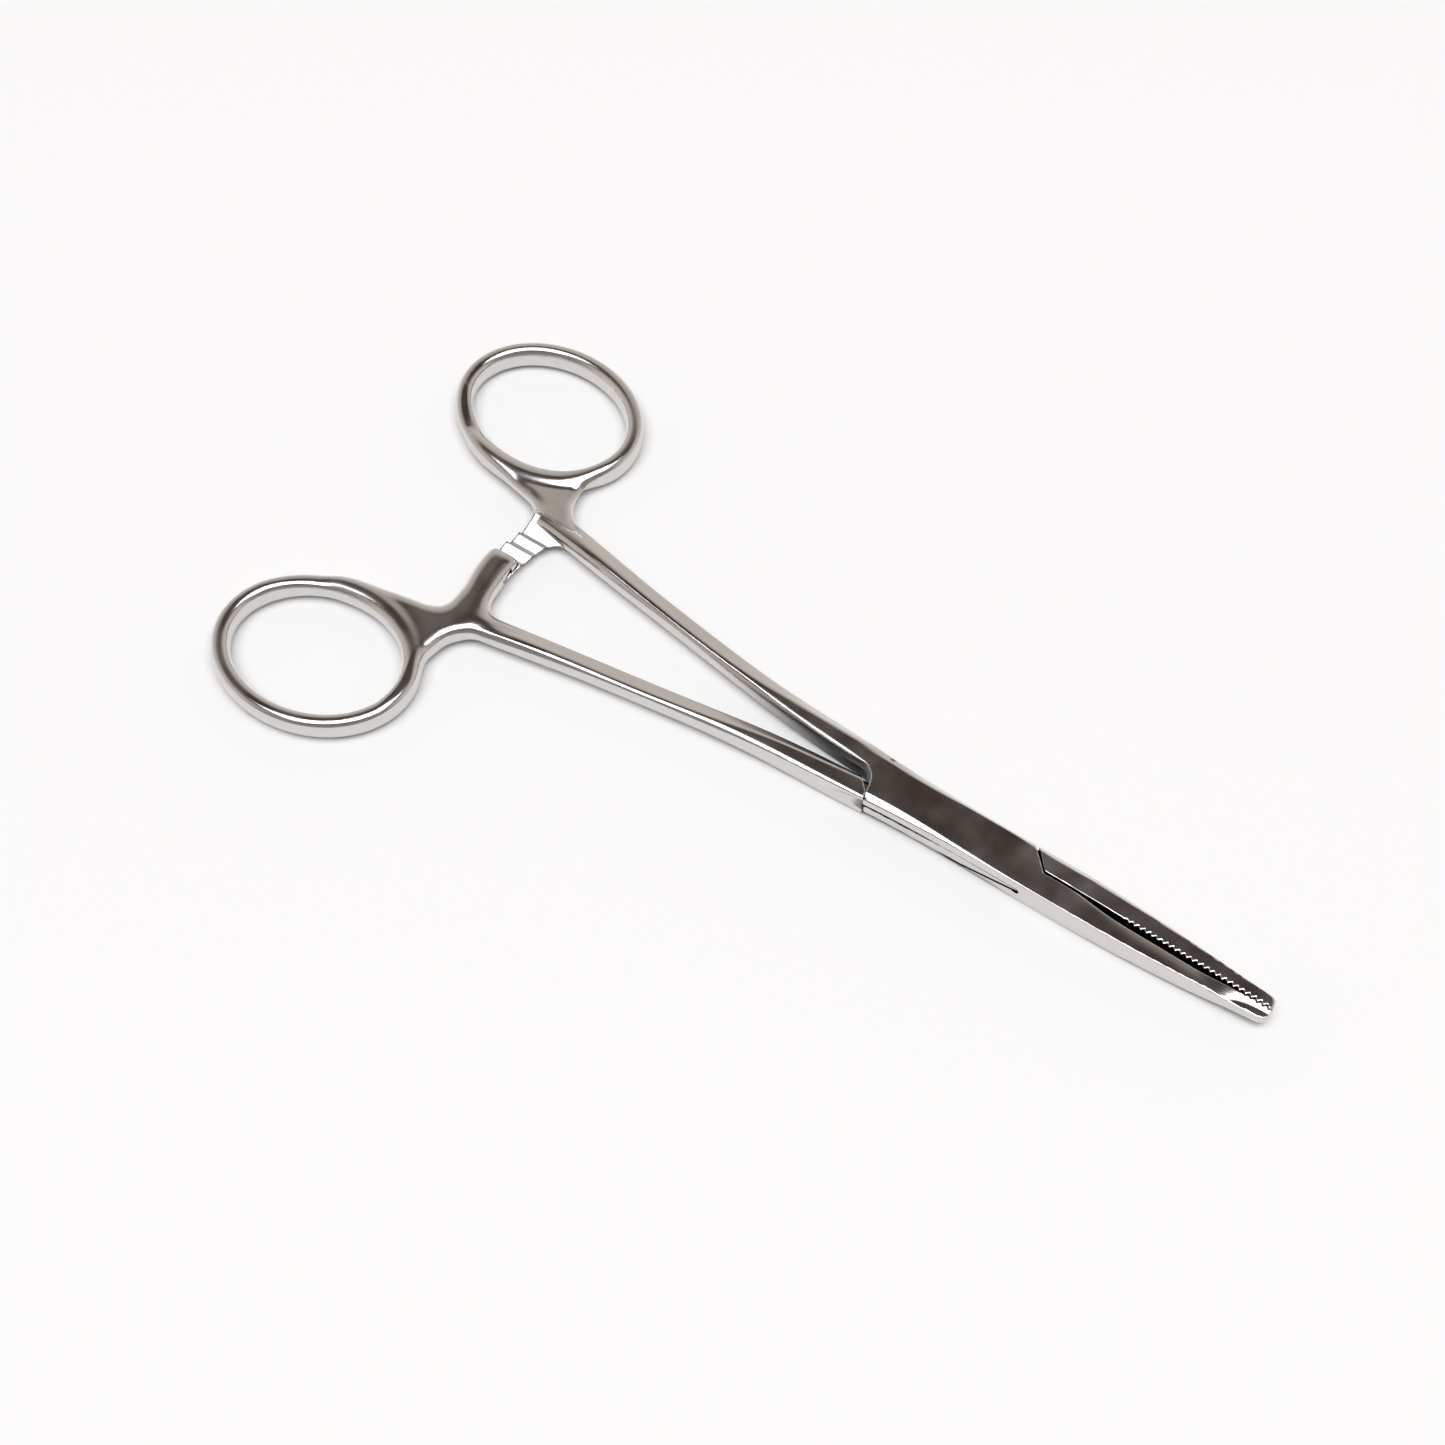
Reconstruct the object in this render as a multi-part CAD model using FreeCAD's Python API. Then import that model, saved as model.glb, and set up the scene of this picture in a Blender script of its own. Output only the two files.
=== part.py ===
import FreeCAD, Part
import os

# Box-lock locking forceps, closed on the first ratchet tooth, in three pieces:
# the slotted half (far ring, lock plates, near jaw), the tongue half (near ring, tongue, far jaw)
# and the pin that holds them together.
# Origin: on the pivot axis, in the plane that the box underside rests on.
# +X runs to the jaw tips, +Y to the ring of the slotted half, +Z up. Millimetres.

V = FreeCAD.Vector

# Driving dimensions
TIP_X = 50.0             # pivot axis to jaw tips
RING_X = -94.0           # pivot axis to the ring centres, along X
RING_Y = 28.7            # centre line to a ring centre
BOX_HEIGHT = 4.4         # thickness of the box lock
MID_Z = BOX_HEIGHT / 2
BOX_BEVEL_WIDE = 0.7     # bevel on box and jaws, seen from above
BOX_BEVEL_DEEP = 0.4     # the same bevel, down the side

# Box lock: half widths along X
BOX_REAR_X = -14.0
BOX_REAR_HALF_WIDTH = 4.3
BOX_HALF_WIDTH = 3.7     # at the pivot
BOX_FRONT_X = 14.8
BOX_FRONT_HALF_WIDTH = 3.6

# Shanks: position along X, distance of the middle from the centre line, half width, half height,
# half width of the flat on top, half height of the side wall
SHANK_STATIONS = [
    (-80.0, 11.35, 1.95, 1.65, 0.6, 0.7),
    (-72.0, 9.97, 2.02, 1.6, 0.5, 0.65),
    (-60.0, 7.93, 1.83, 1.6, 0.3, 0.65),
    (-50.0, 6.39, 1.76, 1.6, 0.3, 0.65),
    (-40.0, 4.9, 1.8, 1.7, 0.35, 0.7),
    (-30.0, 3.67, 1.87, 1.9, 0.7, 1.0),
    (-22.0, 3.05, 1.9, 2.07, 1.0, 1.3),
    (-12.0, 2.45, 1.75, 2.2, 1.2, 1.75),
]

# Finger rings: an oval tube with an oval section
RING_LONG = 15.3         # half length of the tube's centre line
RING_SHORT = 12.1        # half width of the tube's centre line
RING_TILT = -6.0         # degrees, long axis turned towards the pivot
TUBE_HALF_WIDTH = 1.4
TUBE_HALF_HEIGHT = 1.95
WEB_HALF_HEIGHT = 1.75   # flat web between ring, shank and ratchet arm

# Joint between the halves
LOCK_RADIUS = 13.1       # the plates end on this circle at the ring side
LOCK_GAP = 0.1           # from that circle to the shoulder of the tongue half
SLOT_RADIUS = 13.15
TONGUE_RADIUS = 13.05
TONGUE_BOTTOM = 0.85
TONGUE_TOP = 2.75
RUNNING_GAP = 0.06       # tongue to slot, above and below
SHANK_GAP = 0.15         # centre line to the rear corner of the plates
LOCK_END_X = -12.0       # where the shanks run into the box
PIN_RADIUS = 1.5
PIN_CLEARANCE = 0.05

# Jaws: position along X, half width and half height of both jaws together
JAW_STATIONS = [
    (BOX_FRONT_X, BOX_FRONT_HALF_WIDTH, MID_Z),
    (26.0, 3.42, 2.02),
    (38.0, 2.78, 1.7),
    (44.0, 2.35, 1.5),
    (TIP_X, 1.95, 1.3),
]
SHOULDER_EDGE = V(11.6, 3.6, 0)    # joint across the box, at its edge
SHOULDER_ROOT = V(14.6, 0.1, 0)    # the same joint, where the jaw gap starts
SHOULDER_FLAT = 0.4                # the joint's short straight part at the edge
SHOULDER_GAP = 0.08
JAW_GAP_BACK = 0.34                # half gap between the jaws at the root
JAW_GAP_FRONT = 0.05               # half gap at the tips
TOOTH_PITCH = 0.9
TOOTH_DEPTH = 0.34
TOOTH_COUNT = 28
TIP_HALF_WIDTH = 1.95              # both jaws together, at the tips
TIP_FLANK_LENGTH = 40.0            # the rounded corners of the tips lie on straight flanks
TIP_FLANK_SPREAD = 5.0             # how much wider the flanks are at their rear end
TIP_ROUND = 0.8

# Ratchet
ARM_INNER_X = -79.0      # arm edge on the pivot side
ARM_OUTER_X = -84.6      # arm edge on the ring side
ARM_REACH = 2.1          # how far each arm passes the centre line
ARM_ROOT_Y = 11.0
ARM_HALF_HEIGHT = 1.75   # from MID_Z to the outer face of an arm
ARM_GAP = 0.06           # half gap between the two racks
RACK_PITCH = 2.35
RACK_DEPTH = 0.65
RACK_TEETH = 4
RACK_FIRST_Y = -0.1      # first groove of the slotted half's rack

FAR_OUT = 60.0           # beyond every edge of the forceps


def polygon(points):
    """Closed wire through the points."""
    return Part.makePolygon(list(points) + [points[0]])


def prism(points, bottom, top):
    """Upright solid on a plan polygon of (x, y) points."""
    face = Part.Face(polygon([V(x, y, bottom) for x, y in points]))
    return face.extrude(V(0, 0, top - bottom))


def disc(radius, bottom, top):
    """Round slab about the pivot axis."""
    return Part.makeCylinder(radius, top - bottom, V(0, 0, bottom))


def mirrored(shape, side):
    """The shape itself for side +1, its mirror image in the plane y = 0 for side -1."""
    if side > 0:
        return shape
    return shape.mirror(V(0, 0, 0), V(0, 1, 0))


def octagon(x, y, half_width, half_height, wide, deep):
    """Bevelled cross-section in the plane of constant x, centred on the height MID_Z."""
    flat_y = half_width - wide
    flat_z = half_height - deep
    corners = [(half_width, -flat_z), (half_width, flat_z),
               (flat_y, half_height), (-flat_y, half_height),
               (-half_width, flat_z), (-half_width, -flat_z),
               (-flat_y, -half_height), (flat_y, -half_height)]
    return polygon([V(x, y + dy, MID_Z + dz) for dy, dz in corners])


def box_outer():
    """Outer shape of the lock, from behind the plates to the jaw roots."""
    stations = [(BOX_REAR_X, BOX_REAR_HALF_WIDTH), (0.0, BOX_HALF_WIDTH),
                (BOX_FRONT_X, BOX_FRONT_HALF_WIDTH)]
    wires = [octagon(x, 0, half_width, MID_Z, BOX_BEVEL_WIDE, BOX_BEVEL_DEEP)
             for x, half_width in stations]
    return Part.makeLoft(wires, True, True)


def jaws_outer():
    """Outer shape of both jaws together: they narrow and thin towards blunt round tips."""
    wires = [octagon(x, 0, half_width, half_height, BOX_BEVEL_WIDE, BOX_BEVEL_DEEP)
             for x, half_width, half_height in JAW_STATIONS]
    body = Part.makeLoft(wires, True, False)
    back = TIP_X - TIP_FLANK_LENGTH
    back_half = TIP_HALF_WIDTH + TIP_FLANK_SPREAD
    plan = prism([(back, -back_half), (TIP_X, -TIP_HALF_WIDTH), (TIP_X, TIP_HALF_WIDTH),
                  (back, back_half)], -1.0, BOX_HEIGHT + 1.0)
    corners = [edge for edge in plan.Edges
               if min(vertex.Point.x for vertex in edge.Vertexes) > TIP_X - 0.1
               and abs(edge.tangentAt(edge.FirstParameter).z) > 0.9]
    return body.common(plan.makeFillet(TIP_ROUND, corners))


def shank(side):
    """One shank, from the neck of its ring to the lock."""
    wires = [octagon(x, y, half_width, half_height, half_width - half_flat, half_height - half_wall)
             for x, y, half_width, half_height, half_flat, half_wall in SHANK_STATIONS]
    return mirrored(Part.makeLoft(wires, True, False), side)


def ring(side):
    """One finger ring: an oval section swept round an oval."""
    centre = V(RING_X, RING_Y, MID_Z)
    start = centre + V(RING_LONG, 0, 0)
    path = Part.Ellipse(centre, RING_LONG, RING_SHORT)
    section = Part.Ellipse(start + V(0, 0, TUBE_HALF_HEIGHT), start + V(TUBE_HALF_WIDTH, 0, 0), start)
    tube = Part.Wire(path.toShape()).makePipeShell([Part.Wire(section.toShape())], True, True)
    tube.rotate(centre, V(0, 0, 1), RING_TILT)
    return mirrored(tube, side)


def web(side):
    """Flat web that joins ring, shank and ratchet arm, with hollow flanks."""
    inner_side = [V(-101.5, 18.0, 0), V(-97.0, 15.35, 0), V(-92.5, 13.85, 0), V(-86.5, 12.7, 0),
                  V(-83.3, 10.0, 0)]
    outer_side = [V(-72.0, 11.9, 0), V(-77.6, 13.9, 0), V(-79.9, 18.0, 0), V(-79.4, 24.5, 0)]
    inner = Part.BSplineCurve()
    inner.interpolate(inner_side)
    outer = Part.BSplineCurve()
    outer.interpolate(outer_side)
    # The web closes along a line inside the tube of the ring
    closing = [outer_side[-1], V(-82.8, 20.0, 0), V(-89.0, 17.1, 0), inner_side[0]]
    throat = [inner_side[-1], V(-76.0, 9.2, 0), outer_side[0]]
    edges = [inner.toShape(), outer.toShape()]
    for line in (throat, closing):
        for start, end in zip(line, line[1:]):
            edges.append(Part.makeLine(start, end))
    face = Part.Face(Part.Wire(Part.sortEdges(edges)[0]))
    face.translate(V(0, 0, MID_Z - WEB_HALF_HEIGHT))
    return mirrored(face.extrude(V(0, 0, 2 * WEB_HALF_HEIGHT)), side)


def arm(side):
    """Ratchet arm with its rack: the slotted half's lies below, teeth up; the other's above, teeth down."""
    outline = [(ARM_INNER_X, -ARM_REACH), (ARM_INNER_X + 0.4, ARM_ROOT_Y - 4.5),
               (ARM_INNER_X + 3.0, ARM_ROOT_Y - 1.8), (ARM_INNER_X + 1.0, ARM_ROOT_Y + 1.0),
               (ARM_OUTER_X + 1.0, ARM_ROOT_Y + 1.0), (ARM_OUTER_X + 1.5, ARM_ROOT_Y - 3.0),
               (ARM_OUTER_X, -ARM_REACH)]
    crest = MID_Z - ARM_GAP
    body = prism(outline, MID_Z - ARM_HALF_HEIGHT, crest)
    for tooth in range(RACK_TEETH):
        y = RACK_FIRST_Y + tooth * RACK_PITCH
        start = ARM_OUTER_X - 1
        groove = Part.Face(polygon([V(start, y, crest), V(start, y, crest - RACK_DEPTH),
                                    V(start, y + RACK_PITCH, crest)]))
        body = body.cut(groove.extrude(V(ARM_INNER_X - ARM_OUTER_X + 2, 0, 0)))
    if side < 0:
        body = body.mirror(V(0, 0, 0), V(0, 1, 0)).mirror(V(0, 0, MID_Z), V(0, 0, 1))
    return body


def jaw_line(side):
    """Toothed inner outline of one jaw, from the root of the jaw gap to beyond the tip."""
    root = SHOULDER_ROOT.x
    teeth_start = TIP_X - TOOTH_COUNT * TOOTH_PITCH

    def half_gap(x):
        return JAW_GAP_BACK + (JAW_GAP_FRONT - JAW_GAP_BACK) * (x - root) / (TIP_X - root)

    points = [(root + 0.9, side * half_gap(root))]
    for tooth in range(TOOTH_COUNT):
        valley = teeth_start + tooth * TOOTH_PITCH
        crest = valley + TOOTH_PITCH / 2
        points.append((valley, side * half_gap(valley) - TOOTH_DEPTH / 2))
        points.append((crest, side * half_gap(crest) + TOOTH_DEPTH / 2))
    points.append((TIP_X, side * JAW_GAP_FRONT - TOOTH_DEPTH / 2))
    points.append((TIP_X + 1.0, side * JAW_GAP_FRONT - TOOTH_DEPTH / 2))
    return points


def far_region(side):
    """Plan region of the far jaw. Side +1 is the jaw itself, side -1 is what the other half clears."""
    slide = SHOULDER_GAP / 2 * side
    edge = (SHOULDER_EDGE.x + slide, SHOULDER_EDGE.y + 1.0)
    knee = (SHOULDER_EDGE.x + slide, SHOULDER_EDGE.y - SHOULDER_FLAT)
    root = (SHOULDER_ROOT.x + slide, SHOULDER_ROOT.y + slide)
    outline = [edge, knee, root] + jaw_line(side) + [(TIP_X + 1.0, FAR_OUT), (SHOULDER_EDGE.x, FAR_OUT)]
    return prism(outline, -1.0, BOX_HEIGHT + 1.0)


def slotted_half():
    """Far ring, far shank, lower rack, lock plates and near jaw, in one piece."""
    plates = box_outer().fuse(jaws_outer())
    behind = prism([(-FAR_OUT, -FAR_OUT), (0, -FAR_OUT), (0, SHANK_GAP), (LOCK_END_X, SHANK_GAP),
                    (LOCK_END_X, FAR_OUT), (-FAR_OUT, FAR_OUT)], -1.0, BOX_HEIGHT + 1.0)
    behind = behind.cut(disc(LOCK_RADIUS, -1.0, BOX_HEIGHT + 1.0))
    plates = plates.cut(behind)
    beside_shank = prism([(-FAR_OUT, SHANK_GAP), (LOCK_END_X, SHANK_GAP), (LOCK_END_X, FAR_OUT),
                          (-FAR_OUT, FAR_OUT)], -1.0, BOX_HEIGHT + 1.0)
    plates = plates.cut(beside_shank).cut(far_region(-1))
    body = shank(1).multiFuse([plates, ring(1), web(1), arm(1)])
    slot_bottom = TONGUE_BOTTOM - RUNNING_GAP
    slot_top = TONGUE_TOP + RUNNING_GAP
    mouth = prism([(0, -JAW_GAP_BACK), (SHOULDER_ROOT.x + 2, -JAW_GAP_BACK),
                   (SHOULDER_ROOT.x + 2, FAR_OUT), (0, FAR_OUT)], slot_bottom, slot_top)
    slot = disc(SLOT_RADIUS, slot_bottom, slot_top).fuse(mouth)
    return body.cut(slot).cut(disc(PIN_RADIUS, -1.0, BOX_HEIGHT + 1.0)).removeSplitter()


def tongue_half():
    """Near ring, near shank, upper rack, tongue and far jaw, in one piece."""
    bottom = TONGUE_BOTTOM
    top = TONGUE_TOP
    outer = box_outer().fuse(jaws_outer())
    near_shank = shank(-1)
    neck = prism([(0, -JAW_GAP_BACK + SHOULDER_GAP), (SHOULDER_ROOT.x + 1, -JAW_GAP_BACK + SHOULDER_GAP),
                  (SHOULDER_ROOT.x + 1, FAR_OUT), (0, FAR_OUT)], bottom, top)
    clear_of_jaw = prism(jaw_line(1)[:1] + [(SHOULDER_ROOT.x + 2, -FAR_OUT), (0, -FAR_OUT)],
                         bottom, top)
    tongue = outer.common(disc(TONGUE_RADIUS, bottom, top).fuse(neck.cut(clear_of_jaw)))
    shoulder = disc(LOCK_RADIUS + LOCK_GAP, -1.0, BOX_HEIGHT + 1.0)
    root = near_shank.common(disc(LOCK_RADIUS + 2 * LOCK_GAP, bottom, top))
    far_jaw = outer.common(far_region(1))
    body = near_shank.cut(shoulder).multiFuse([root, tongue, far_jaw, ring(-1), web(-1), arm(-1)])
    return body.cut(disc(PIN_RADIUS + PIN_CLEARANCE, -1.0, BOX_HEIGHT + 1.0)).removeSplitter()


def pivot_pin():
    """Pin through both plates and the tongue, ground flush at both ends."""
    return disc(PIN_RADIUS, 0.0, BOX_HEIGHT)


os.makedirs("parts", exist_ok=True)
for name, shape in (("slotted_half", slotted_half()), ("tongue_half", tongue_half()),
                    ("pivot_pin", pivot_pin())):
    print(name, shape.ShapeType, "valid", shape.isValid(), "solids", len(shape.Solids),
          "volume", round(shape.Volume, 1))
    shape.Solids[0].exportStep("parts/" + name + ".step")
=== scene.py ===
import math

import bpy
import numpy as np
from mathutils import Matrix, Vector


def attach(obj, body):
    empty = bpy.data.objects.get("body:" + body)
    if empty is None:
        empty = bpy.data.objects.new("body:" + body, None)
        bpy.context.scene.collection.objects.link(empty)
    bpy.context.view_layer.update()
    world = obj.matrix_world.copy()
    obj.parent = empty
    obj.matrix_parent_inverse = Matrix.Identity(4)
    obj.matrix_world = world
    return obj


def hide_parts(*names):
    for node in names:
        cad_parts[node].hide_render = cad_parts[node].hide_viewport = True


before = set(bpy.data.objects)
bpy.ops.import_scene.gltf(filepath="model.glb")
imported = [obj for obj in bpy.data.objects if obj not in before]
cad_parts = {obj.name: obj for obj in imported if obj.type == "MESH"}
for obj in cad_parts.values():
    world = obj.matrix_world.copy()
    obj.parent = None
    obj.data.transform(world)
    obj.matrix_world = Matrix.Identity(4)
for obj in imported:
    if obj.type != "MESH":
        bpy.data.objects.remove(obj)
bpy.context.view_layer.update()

# Lengths in this file are millimetres; MM turns them into Blender's metres.
# +X runs to the jaw tips, +Y to the far ring and +Z up. The pin's axis is at x = y = 0.
# A solid is a function that is negative inside it; w is height above the middle plane.
MM = 0.001

# The slotted half carries the far ring, the tongue half the near one
FAR, NEAR = 1, -1

# Lock and pin
BOX_HEIGHT = 4.4
MID_Z = BOX_HEIGHT / 2
LOCK_RADIUS = 13.1              # the plates end on this circle, on the rings' side
TONGUE_RADIUS = 13.05
SLOT_BOTTOM = 0.85
SLOT_TOP = 2.75
RUNNING_GAP = 0.05              # between the tongue and the plates, on each side
PIN_RADIUS = 1.5
PIN_CLEARANCE = 0.03
PIN_HOLE_HALF_HEIGHT = 1.95     # stops below the plates' skin, as the pin is ground flush
RUNOUT_X, RUNOUT_Z = 12.3, 2.2  # small round hole where the tongue's edge runs out
RUNOUT_RADIUS = 0.55
RUNOUT_DEPTH_Y = -2.6           # the hole goes in to here from the near side
CLIMB_START = 3.5               # along the near side the slot's floor climbs to the hole
CLIMB_LENGTH = 8.7
CLIMB_TOP = 2.25
PLATE_EDGE = 0.6                # width of the strip in which it climbs, in the plates
TONGUE_EDGE = 0.7               # and in the tongue
END_FACE = (-13.0, -3.0)        # the near shank ends against the plates, square to this way
END_FACE_NORMAL = (0.727, 0.687)

# Joint across the box in front of the lock, in plan: shoulder, knee, root of the jaws' gap
SHOULDER_X = 11.6
SHOULDER_KNEE = (11.75, 3.2)
SHOULDER_ROOT = (14.6, 0.1)
JOINT_GAP = 0.14

# Jaws
TIP_X = 50.0
TIP_HALF_WIDTH = 1.95
TIP_TAPER = 0.1
TOOTH_PITCH = 0.9
TOOTH_DEPTH = 0.44
TEETH_GROW = (26.0, 29.0)       # x over which the teeth reach their full depth
TOOTH_BEVEL = 0.37              # the far jaw's toothed edge is bevelled this steeply
FACET_SLOPE = 0.12

# Shanks
SHANK_START = -82.0
SHANK_END = -9.0
LEAST_BEVEL = 0.35

# Rings
RING_X = -94.0
RING_Y = {FAR: 28.45, NEAR: 28.8}
RING_LONG = 15.3
RING_SHORT = 12.0
RING_TILT = math.radians(-6.0)
RING_LEAN = {FAR: 0.2, NEAR: 0.0}
RING_BLEND = {FAR: 1.5, NEAR: 1.2}
SHANK_BLEND = {FAR: 0.12, NEAR: 0.4}
TUBE_HALF_WIDTH = 1.4
TUBE_HALF_HEIGHT = 1.95
TUBE_POWER = 2.5                # 2 would be an ellipse, more is squarer
TUBE_FLATTENED = {FAR: 0.75, NEAR: 0.3}
TUBE_ROUND_Y, TUBE_FLAT_Y = 25.0, 18.0

# Necks and ratchet arms
NECK_HALF_HEIGHT = {FAR: 1.7, NEAR: 1.85}
NECK_TAPER = 1.2                # lost towards the shank
NECK_FALL = 0.13                # lost for each mm towards the far ring
NECK_FALL_Y = 11.0
STUB_START = -81.0
STUB_END = -66.0
ARM_END_Y = -2.1
ARM_ROOT_Y = 15.5
RACK_OFFSET = 0.1
RACK_PITCH = 2.35
RACK_DEPTH = 0.82
RACK_CLEARANCE = 0.06
LOWER_RACK_END = (6.95, 7.15)
UPPER_RACK_END = (2.3, 2.6)
PLATE_START = 7.0               # flat slope between the lower rack and its neck
PLATE_END = (10.9, 11.3)
PLATE_SLOPE = 0.38
NO_CUT = 4.0                    # added to a cut's height where the cut stops


# ---------------------------------------------------------------- curves and joins
def spline(knots, values):
    """Natural cubic spline through the points, straight beyond its ends."""
    t = np.array(knots, float)
    v = np.array(values, float)
    h = np.diff(t)
    n = len(t)
    matrix = np.eye(n)
    rhs = np.zeros(n)
    for i in range(1, n - 1):
        matrix[i, i - 1:i + 2] = h[i - 1], 2 * (h[i - 1] + h[i]), h[i]
        rhs[i] = 6 * ((v[i + 1] - v[i]) / h[i] - (v[i] - v[i - 1]) / h[i - 1])
    m = np.linalg.solve(matrix, rhs)

    def value(x):
        x = np.asarray(x, float)
        xc = np.clip(x, t[0], t[-1])
        i = np.clip(np.searchsorted(t, xc) - 1, 0, n - 2)
        a = (t[i + 1] - xc) / h[i]
        b = 1 - a
        bend = (a ** 3 - a) * m[i] + (b ** 3 - b) * m[i + 1]
        inside = a * v[i] + b * v[i + 1] + bend * h[i] ** 2 / 6
        first = (v[1] - v[0]) / h[0] - h[0] * m[1] / 6
        last = (v[-1] - v[-2]) / h[-1] + h[-1] * m[-2] / 6
        return inside + np.minimum(x - t[0], 0) * first + np.maximum(x - t[-1], 0) * last

    return value


def smax(a, b, k):
    """The larger of a and b, with the corner between them rounded over k."""
    return np.maximum(a, b) + np.maximum(k - np.abs(a - b), 0) ** 2 / (4 * k)


def smin(a, b, k):
    """The smaller of a and b, with the corner between them rounded over k."""
    return -smax(-a, -b, k)


def plane(y, w, y1, w1, y2, w2):
    """Distance above the line from point 1 (inside edge, high) to point 2 (outside edge, low)."""
    dy, dw = y2 - y1, w1 - w2
    return (dw * (y - y1) + dy * (w - w1)) / np.hypot(dy, dw)


def step(x, start, end):
    """0 before start, 1 after end, smooth between."""
    t = np.clip((x - start) / (end - start), 0, 1)
    return t * t * (3 - 2 * t)


# ---------------------------------------------------------------- shank section along x
SX = (-80, -72, -60, -50, -40, -30, -22, -14)
shank_outer = spline(SX, (13.3, 12.0, 9.75, 8.15, 6.7, 5.55, 4.95, 4.4))
shank_inner = spline(SX, (9.4, 7.95, 6.1, 4.63, 3.1, 1.8, 1.15, 0.75))
shank_shift = spline(SX, (-0.69, -0.69, -0.69, -0.79, -0.63, -0.36, -0.3, -0.2))
shank_flat = spline(SX, (0.6, 0.45, 0.2, 0.14, 0.2, 0.7, 1.0, 1.25))
shank_height = spline(SX, (1.15, 1.6, 1.6, 1.6, 1.7, 1.9, 2.07, 2.2))
shank_far_wall = spline(SX, (0.7, 0.65, 0.65, 0.65, 0.7, 1.0, 1.3, 1.6))
shank_near_wall = spline(SX, (0.6, 0.6, 0.6, 0.6, 0.7, 0.95, 1.2, 1.5))
shank_white_wide = spline(SX, (0.12, 0.3, 0.5, 0.5, 0.55, 0.55, 0.55, 0.6))
shank_white_deep = spline(SX, (0.07, 0.17, 0.27, 0.27, 0.29, 0.3, 0.3, 0.32))


def section(y, w, far, near, flat_far, flat_near, high, far_wall, near_wall, wide, deep, k):
    """Bevelled section between a near wall and a far wall, the same above and below the middle.

    The flat top runs from flat_near to flat_far at height high. The far bevel falls to far_wall in
    one plane. The near bevel has a narrow plane, wide across and deep down, above the steeper one.
    """
    w = np.abs(w)
    f = smax(y - far, plane(y, w, flat_far, high, far, far_wall), k)
    g = smax(plane(-y, w, -flat_near, high, wide - flat_near, high - deep),
             plane(-y, w, wide - flat_near, high - deep, -near, near_wall), 0.5 * k)
    g = smax(g, near - y, k)
    return smax(smax(f, g, k), w - high, 0.5 * k)


def shank(x, y, w, side):
    """Shank of one half, between its neck and the lock."""
    outer, inner = shank_outer(x), shank_inner(x)
    if side == FAR:
        far, near = outer, inner
    else:
        far, near = -inner, -outer
    reach = 0.1
    slope = (shank_outer(x + reach) - shank_outer(x - reach)) / (2 * reach)
    middle = (far + near) / 2 + shank_shift(x)
    half = np.minimum(shank_flat(x), (outer - inner) / 2 - LEAST_BEVEL)
    d = section(y, w, far, near, middle + half, middle - half, shank_height(x),
                shank_far_wall(x), shank_near_wall(x), shank_white_wide(x), shank_white_deep(x), 0.3)
    d = d / np.sqrt(1 + slope ** 2)
    return np.maximum(np.maximum(d, SHANK_START - x), x - SHANK_END)


# ---------------------------------------------------------------- box and jaws
BX = (-20, -12, -8, 0, 8, 14, 20, 26, 32, 38, 44, 50)
box_half = spline(BX, (4.8, 4.2, 3.95, 3.7, 3.62, 3.6, 3.55, 3.42, 3.15, 2.78, 2.35, 1.95))
box_high = spline(BX, (2.2, 2.205, 2.205, 2.205, 2.205, 2.2, 2.15, 2.02, 1.87, 1.7, 1.5, 1.3))
box_far_flat = spline(BX, (3.4, 3.1, 2.95, 3.05, 3.05, 2.85, 2.85, 2.8, 2.62, 2.35, 1.95, 1.6))
box_near_flat = spline(BX, (-3.6, -3.1, -2.95, -3.1, -3.4, -3.48, -3.44, -3.31, -3.04, -2.67, -2.24,
                            -1.84))


def box(x, y, w):
    """Outer shape of the lock and the jaws, before anything is cut from it."""
    half, high = box_half(x), box_high(x)
    flat_near = box_near_flat(x)
    on_jaws = step(x, 8, 16)
    wide = np.maximum((half + flat_near) * (0.85 - 0.6 * on_jaws), 0.03)
    deep = 0.5 * wide
    near_wall = high - deep - 0.25 - 0.1 * on_jaws
    d = section(y, w, half, -half, box_far_flat(x), flat_near, high,
                high - 0.6, near_wall, wide, deep, 0.22 - 0.14 * step(x, 6, 16))
    tip = smax(x - TIP_X, np.abs(y) - TIP_HALF_WIDTH - (TIP_X - x) * TIP_TAPER, 1.4)
    return smax(d, tip, 0.5)


# ---------------------------------------------------------------- ring, web and ratchet arm
def ring_distance(x, y, centre_y):
    """Signed plan distance to the centre line of a ring, positive outside."""
    dx, dy = x - RING_X, y - centre_y
    tilt_cos, tilt_sin = math.cos(RING_TILT), math.sin(RING_TILT)
    u, v = dx * tilt_cos + dy * tilt_sin, dy * tilt_cos - dx * tilt_sin
    t = np.arctan2(v * RING_LONG, u * RING_SHORT)
    for _ in range(3):
        c, s = np.cos(t), np.sin(t)
        ex, ey = u - RING_LONG * c, v - RING_SHORT * s
        first = ex * RING_LONG * s - ey * RING_SHORT * c
        second = ex * RING_LONG * c + ey * RING_SHORT * s
        second = second + (RING_LONG * s) ** 2 + (RING_SHORT * c) ** 2
        t = t - first / np.maximum(second, 1.0)
    ex, ey = u - RING_LONG * np.cos(t), v - RING_SHORT * np.sin(t)
    outside = np.sign((u / RING_LONG) ** 2 + (v / RING_SHORT) ** 2 - 1)
    return outside * np.hypot(ex, ey)


def ring(s, w, b, lean):
    """Oval tube section of half height b, turned by lean, at plan distance s from the centre line."""
    a = TUBE_HALF_WIDTH
    s, w = s * np.cos(lean) - w * np.sin(lean), s * np.sin(lean) + w * np.cos(lean)
    s, w = np.abs(s) / a, np.abs(w) / b
    k = (s ** TUBE_POWER + w ** TUBE_POWER) ** (1 / TUBE_POWER) + 1e-9
    power = TUBE_POWER - 1
    return (k - 1) / np.hypot((s / k) ** power / a, (w / k) ** power / b)


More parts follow.
